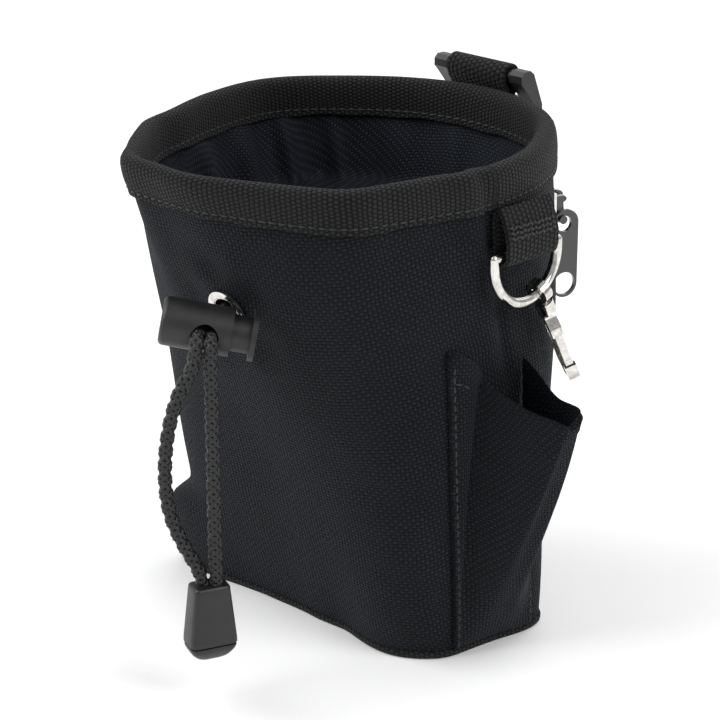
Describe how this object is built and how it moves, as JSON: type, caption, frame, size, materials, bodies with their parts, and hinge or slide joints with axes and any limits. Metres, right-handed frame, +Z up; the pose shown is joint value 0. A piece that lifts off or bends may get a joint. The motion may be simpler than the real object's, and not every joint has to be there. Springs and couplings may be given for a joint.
{
  "type": "treat pouch",
  "caption": "Soft open-topped bag with taped rim, lining, draw cord with lock, side pocket, D-ring with swivel snap, zipped back pocket and belt clip.",
  "frame": {"origin": "centre of the flat foot, on the surface it stands on", "axes": "+Z up; -Y is the front, where the cord comes out; +X is the side with the pocket and the D-ring"},
  "size_m": [0.1402, 0.1633, 0.1581],
  "materials": {
    "outer_cloth": "coarse plain weave, matt",
    "webbing": "ribbed tape weave, matt",
    "lining_cloth": "fine weave, slight sheen",
    "cord": "round braid",
    "black_plastic": "fine moulded grain",
    "black_enamel": "black lacquer, satin",
    "nickel": "bright plated"
  },
  "bodies": {
    "bag": {"front_panel": "outer_cloth", "back_panel": "outer_cloth", "base_panel": "outer_cloth", "lining": "lining_cloth", "rim_binding": "webbing", "base_binding": "webbing", "side_pocket": "outer_cloth", "zip_facing": "outer_cloth", "zip_pocket_panel": "outer_cloth", "zip_tape_upper": "webbing", "zip_tape_lower": "webbing", "zip_coil_upper": "black_plastic", "zip_coil_lower": "black_plastic", "zip_stop_left": "black_enamel", "zip_stop_right": "black_enamel", "dring_tab": "webbing", "eyelet": "nickel", "eyelet_washer": "nickel", "draw_cord": "cord", "lock_barrel": "black_plastic", "lock_spring": "nickel", "clip_tab": "webbing"},
    "slider": {"zip_slider": "black_enamel"},
    "link": {"zip_link": "black_enamel"},
    "pull": {"zip_pull": "black_enamel"},
    "ring": {"d_ring": "nickel"},
    "swivel_eye": {"snap_eye": "nickel"},
    "hook": {"snap_body": "nickel", "snap_pin": "nickel"},
    "gate": {"snap_gate": "nickel"},
    "button": {"lock_plunger": "black_plastic"},
    "cord_tail": {"cord_strand_left": "cord", "cord_strand_right": "cord", "cord_knot": "cord", "cord_end": "black_plastic", "cord_end_cap": "black_plastic"},
    "clip": {"belt_clip": "black_plastic"}
  },
  "joints": [
    {"name": "zip_run", "type": "hinge", "parent": "bag", "child": "slider", "pos_m": [0, -0.0184, 0.121], "axis": [0, 0, 1], "range_deg": [0, 38]},
    {"name": "link_swing", "type": "hinge", "parent": "slider", "child": "link", "pos_m": [0.02486, 0.05381, 0.121], "axis": [0.9455, -0.3256, 0], "range_deg": [0, 75]},
    {"name": "pull_swing", "type": "hinge", "parent": "link", "child": "pull", "pos_m": [0.02516, 0.05466, 0.1137], "axis": [0.9455, -0.3256, 0], "range_deg": [-3, 85]},
    {"name": "ring_swing", "type": "hinge", "parent": "bag", "child": "ring", "pos_m": [0.06097, -0.0022, 0.125], "axis": [0, -1, 0], "range_deg": [0, 80]},
    {"name": "snap_swing", "type": "hinge", "parent": "ring", "child": "swivel_eye", "pos_m": [0.06097, 0.00402, 0.1113], "axis": [0, -0.8829, -0.4695], "range_deg": [0, 60]},
    {"name": "snap_swivel", "type": "hinge", "parent": "swivel_eye", "child": "hook", "pos_m": [0.06097, 0.00402, 0.1113], "axis": [0, 0.4695, -0.8829], "continuous": true},
    {"name": "gate_open", "type": "hinge", "parent": "hook", "child": "gate", "pos_m": [0.06357, 0.00833, 0.0996], "axis": [0.5446, 0.7405, 0.3937], "range_deg": [0, 24], "stiffness_Nm_per_rad": 0.01, "springref_deg": -17.19},
    {"name": "button_press", "type": "slide", "parent": "bag", "child": "button", "axis": [-0.6977, -0.6905, 0.1908], "range_m": [0, 0.003], "stiffness_N_per_m": 400, "springref_m": -0.003, "deforming": ["lock_spring"]},
    {"name": "tail_swing", "type": "hinge", "parent": "bag", "child": "cord_tail", "pos_m": [0.01956, -0.08549, 0.10828], "axis": [0.7034, -0.7108, 0], "range_deg": [-25, 20]},
    {"name": "clip_swing", "type": "hinge", "parent": "bag", "child": "clip", "pos_m": [-0.007, 0.0545, 0.1542], "axis": [1, 0, 0], "range_deg": [0, 70]}
  ]
}
